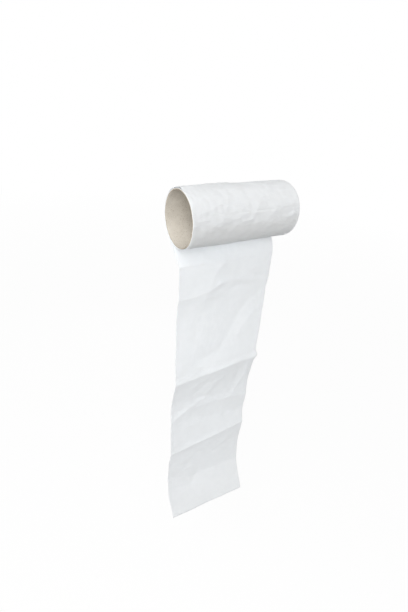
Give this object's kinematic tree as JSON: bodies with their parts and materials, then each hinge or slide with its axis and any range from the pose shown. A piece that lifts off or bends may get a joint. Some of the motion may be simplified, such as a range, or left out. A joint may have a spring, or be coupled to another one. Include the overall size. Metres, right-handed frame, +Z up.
{
  "type": "toilet paper roll",
  "caption": "Nearly finished toilet paper roll: a spirally wound paperboard tube with the last turns of perforated tissue and a long free end hanging down.",
  "frame": {"origin": "centre of the paperboard tube's bore, half way along it", "axes": "+X along the bore, from the end seen in the picture to the far end; -Y the front, +Z up; the tissue's free end hangs down along -Z"},
  "size_m": [0.107, 0.0462, 0.3966],
  "materials": {
    "core_board": "matt unbleached grey-brown board",
    "tissue_paper": "matt white embossed tissue"
  },
  "bodies": {
    "root": {"core": "core_board", "tissue": "tissue_paper"}
  },
  "joints": []
}
